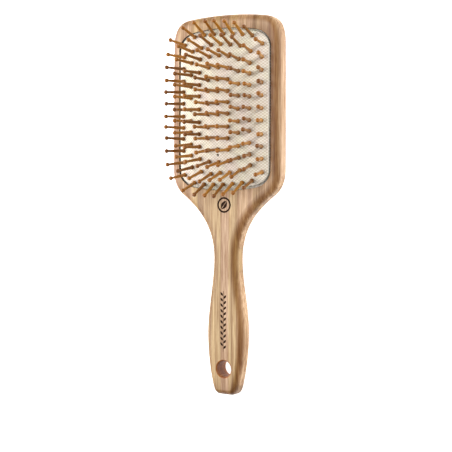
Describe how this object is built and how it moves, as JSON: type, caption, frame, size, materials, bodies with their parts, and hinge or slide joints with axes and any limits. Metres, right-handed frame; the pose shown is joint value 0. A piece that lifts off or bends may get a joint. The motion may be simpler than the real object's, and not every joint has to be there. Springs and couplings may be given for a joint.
{
  "type": "paddle hair brush",
  "caption": "Flat wooden paddle brush with a domed rubber cushion, ball-tipped wooden pins standing in columns, and a hanging hole at the end of its handle.",
  "frame": {"origin": "under the middle of the brush, on the surface that its flat back lies on", "axes": "+Z out of the pin side, +Y along the handle towards the head, +X to the right with the pins facing the viewer and the head up"},
  "size_m": [0.0832, 0.25, 0.0354],
  "materials": {
    "bamboo": "satin laminated bamboo, fine straight grain along the handle",
    "rubber": "matt cream rubber with a fine woven texture",
    "pin_wood": "smooth turned wood, darker than the paddle"
  },
  "bodies": {
    "paddle": {"paddle_body": "bamboo"},
    "cushion": {"rubber_cushion": "rubber"},
    "column_1_top": {"pins_column_1_top": "pin_wood"},
    "column_1_middle": {"pins_column_1_middle": "pin_wood"},
    "column_1_bottom": {"pins_column_1_bottom": "pin_wood"},
    "column_2_top": {"pins_column_2_top": "pin_wood"},
    "column_2_middle": {"pins_column_2_middle": "pin_wood"},
    "column_2_bottom": {"pins_column_2_bottom": "pin_wood"},
    "column_3_top": {"pins_column_3_top": "pin_wood"},
    "column_3_middle": {"pins_column_3_middle": "pin_wood"},
    "column_3_bottom": {"pins_column_3_bottom": "pin_wood"},
    "column_4_top": {"pins_column_4_top": "pin_wood"},
    "column_4_middle": {"pins_column_4_middle": "pin_wood"},
    "column_4_bottom": {"pins_column_4_bottom": "pin_wood"},
    "column_5_top": {"pins_column_5_top": "pin_wood"},
    "column_5_middle": {"pins_column_5_middle": "pin_wood"},
    "column_5_bottom": {"pins_column_5_bottom": "pin_wood"},
    "column_6_top": {"pins_column_6_top": "pin_wood"},
    "column_6_middle": {"pins_column_6_middle": "pin_wood"},
    "column_6_bottom": {"pins_column_6_bottom": "pin_wood"},
    "column_7_top": {"pins_column_7_top": "pin_wood"},
    "column_7_middle": {"pins_column_7_middle": "pin_wood"},
    "column_7_bottom": {"pins_column_7_bottom": "pin_wood"},
    "column_8_top": {"pins_column_8_top": "pin_wood"},
    "column_8_middle": {"pins_column_8_middle": "pin_wood"},
    "column_8_bottom": {"pins_column_8_bottom": "pin_wood"},
    "column_9_top": {"pins_column_9_top": "pin_wood"},
    "column_9_middle": {"pins_column_9_middle": "pin_wood"},
    "column_9_bottom": {"pins_column_9_bottom": "pin_wood"}
  },
  "joints": [
    {"name": "cushion_press", "type": "slide", "parent": "paddle", "child": "cushion", "axis": [0, 0, -1], "range_m": [0, 0.003], "stiffness_N_per_m": 5000, "deforming": ["rubber_cushion"]},
    {"name": "lean_column_1_top", "type": "hinge", "parent": "cushion", "child": "column_1_top", "pos_m": [0.0296, 0.09581, 0.01427], "axis": [0, 0.9976, -0.0698], "range_deg": [-10, 10], "stiffness_Nm_per_rad": 0.04},
    {"name": "lean_column_1_middle", "type": "hinge", "parent": "cushion", "child": "column_1_middle", "pos_m": [0.0296, 0.06314, 0.01493], "axis": [0, 1, 0.0001], "range_deg": [-10, 10], "stiffness_Nm_per_rad": 0.04},
    {"name": "lean_column_1_bottom", "type": "hinge", "parent": "cushion", "child": "column_1_bottom", "pos_m": [0.0296, 0.03051, 0.01427], "axis": [0, 0.9975, 0.0708], "range_deg": [-10, 10], "stiffness_Nm_per_rad": 0.04},
    {"name": "lean_column_2_top", "type": "hinge", "parent": "cushion", "child": "column_2_top", "pos_m": [0.0222, 0.09664, 0.01587], "axis": [0, 0.9878, -0.1555], "range_deg": [-10, 10], "stiffness_Nm_per_rad": 0.04},
    {"name": "lean_column_2_middle", "type": "hinge", "parent": "cushion", "child": "column_2_middle", "pos_m": [0.0222, 0.06316, 0.01742], "axis": [0, 1, -0.0001], "range_deg": [-10, 10], "stiffness_Nm_per_rad": 0.04},
    {"name": "lean_column_2_bottom", "type": "hinge", "parent": "cushion", "child": "column_2_bottom", "pos_m": [0.0222, 0.02952, 0.01585], "axis": [0, 0.9878, 0.1557], "range_deg": [-10, 10], "stiffness_Nm_per_rad": 0.04},
    {"name": "lean_column_3_top", "type": "hinge", "parent": "cushion", "child": "column_3_top", "pos_m": [0.0148, 0.09891, 0.01657], "axis": [0, 0.9753, -0.2209], "range_deg": [-10, 10], "stiffness_Nm_per_rad": 0.04},
    {"name": "lean_column_3_middle", "type": "hinge", "parent": "cushion", "child": "column_3_middle", "pos_m": [0.0148, 0.0631, 0.01903], "axis": [0, 1, 0], "range_deg": [-10, 10], "stiffness_Nm_per_rad": 0.04},
    {"name": "lean_column_3_bottom", "type": "hinge", "parent": "cushion", "child": "column_3_bottom", "pos_m": [0.0148, 0.0275, 0.0166], "axis": [0, 0.9749, 0.2227], "range_deg": [-10, 10], "stiffness_Nm_per_rad": 0.04},
    {"name": "lean_column_4_top", "type": "hinge", "parent": "cushion", "child": "column_4_top", "pos_m": [0.0074, 0.09676, 0.01739], "axis": [0, 0.9756, -0.2195], "range_deg": [-10, 10], "stiffness_Nm_per_rad": 0.04},
    {"name": "lean_column_4_middle", "type": "hinge", "parent": "cushion", "child": "column_4_middle", "pos_m": [0.0074, 0.06331, 0.01988], "axis": [0, 1, 0.0001], "range_deg": [-10, 10], "stiffness_Nm_per_rad": 0.04},
    {"name": "lean_column_4_bottom", "type": "hinge", "parent": "cushion", "child": "column_4_bottom", "pos_m": [0.0074, 0.02951, 0.01738], "axis": [0, 0.9751, 0.2216], "range_deg": [-10, 10], "stiffness_Nm_per_rad": 0.04},
    {"name": "lean_column_5_top", "type": "hinge", "parent": "cushion", "child": "column_5_top", "pos_m": [0, 0.09731, 0.01738], "axis": [0, 0.9727, -0.2323], "range_deg": [-10, 10], "stiffness_Nm_per_rad": 0.04},
    {"name": "lean_column_5_middle", "type": "hinge", "parent": "cushion", "child": "column_5_middle", "pos_m": [0, 0.0632, 0.02009], "axis": [0, 1, 0], "range_deg": [-10, 10], "stiffness_Nm_per_rad": 0.04},
    {"name": "lean_column_5_bottom", "type": "hinge", "parent": "cushion", "child": "column_5_bottom", "pos_m": [0, 0.02932, 0.01743], "axis": [0, 0.9731, 0.2305], "range_deg": [-10, 10], "stiffness_Nm_per_rad": 0.04},
    {"name": "lean_column_6_top", "type": "hinge", "parent": "cushion", "child": "column_6_top", "pos_m": [-0.0074, 0.09722, 0.01725], "axis": [0, 0.9741, -0.2263], "range_deg": [-10, 10], "stiffness_Nm_per_rad": 0.04},
    {"name": "lean_column_6_middle", "type": "hinge", "parent": "cushion", "child": "column_6_middle", "pos_m": [-0.0074, 0.06321, 0.01988], "axis": [0, 1, 0], "range_deg": [-10, 10], "stiffness_Nm_per_rad": 0.04},
    {"name": "lean_column_6_bottom", "type": "hinge", "parent": "cushion", "child": "column_6_bottom", "pos_m": [-0.0074, 0.02909, 0.01722], "axis": [0, 0.9738, 0.2273], "range_deg": [-10, 10], "stiffness_Nm_per_rad": 0.04},
    {"name": "lean_column_7_top", "type": "hinge", "parent": "cushion", "child": "column_7_top", "pos_m": [-0.0148, 0.09952, 0.01637], "axis": [0, 0.9719, -0.2353], "range_deg": [-10, 10], "stiffness_Nm_per_rad": 0.04},
    {"name": "lean_column_7_middle", "type": "hinge", "parent": "cushion", "child": "column_7_middle", "pos_m": [-0.0148, 0.06311, 0.01902], "axis": [0, 1, 0.0002], "range_deg": [-10, 10], "stiffness_Nm_per_rad": 0.04},
    {"name": "lean_column_7_bottom", "type": "hinge", "parent": "cushion", "child": "column_7_bottom", "pos_m": [-0.0148, 0.02668, 0.01633], "axis": [0, 0.9711, 0.2387], "range_deg": [-10, 10], "stiffness_Nm_per_rad": 0.04},
    {"name": "lean_column_8_top", "type": "hinge", "parent": "cushion", "child": "column_8_top", "pos_m": [-0.0222, 0.09802, 0.01562], "axis": [0, 0.9855, -0.1697], "range_deg": [-10, 10], "stiffness_Nm_per_rad": 0.04},
    {"name": "lean_column_8_middle", "type": "hinge", "parent": "cushion", "child": "column_8_middle", "pos_m": [-0.0222, 0.06332, 0.01742], "axis": [0, 1, -0.0001], "range_deg": [-10, 10], "stiffness_Nm_per_rad": 0.04},
    {"name": "lean_column_8_bottom", "type": "hinge", "parent": "cushion", "child": "column_8_bottom", "pos_m": [-0.0222, 0.02858, 0.01565], "axis": [0, 0.9854, 0.1702], "range_deg": [-10, 10], "stiffness_Nm_per_rad": 0.04},
    {"name": "lean_column_9_top", "type": "hinge", "parent": "cushion", "child": "column_9_top", "pos_m": [-0.0296, 0.09419, 0.0143], "axis": [0, 0.998, -0.0639], "range_deg": [-10, 10], "stiffness_Nm_per_rad": 0.04},
    {"name": "lean_column_9_middle", "type": "hinge", "parent": "cushion", "child": "column_9_middle", "pos_m": [-0.0296, 0.06327, 0.01493], "axis": [0, 1, 0], "range_deg": [-10, 10], "stiffness_Nm_per_rad": 0.04},
    {"name": "lean_column_9_bottom", "type": "hinge", "parent": "cushion", "child": "column_9_bottom", "pos_m": [-0.0296, 0.03241, 0.01431], "axis": [0, 0.998, 0.0638], "range_deg": [-10, 10], "stiffness_Nm_per_rad": 0.04}
  ]
}
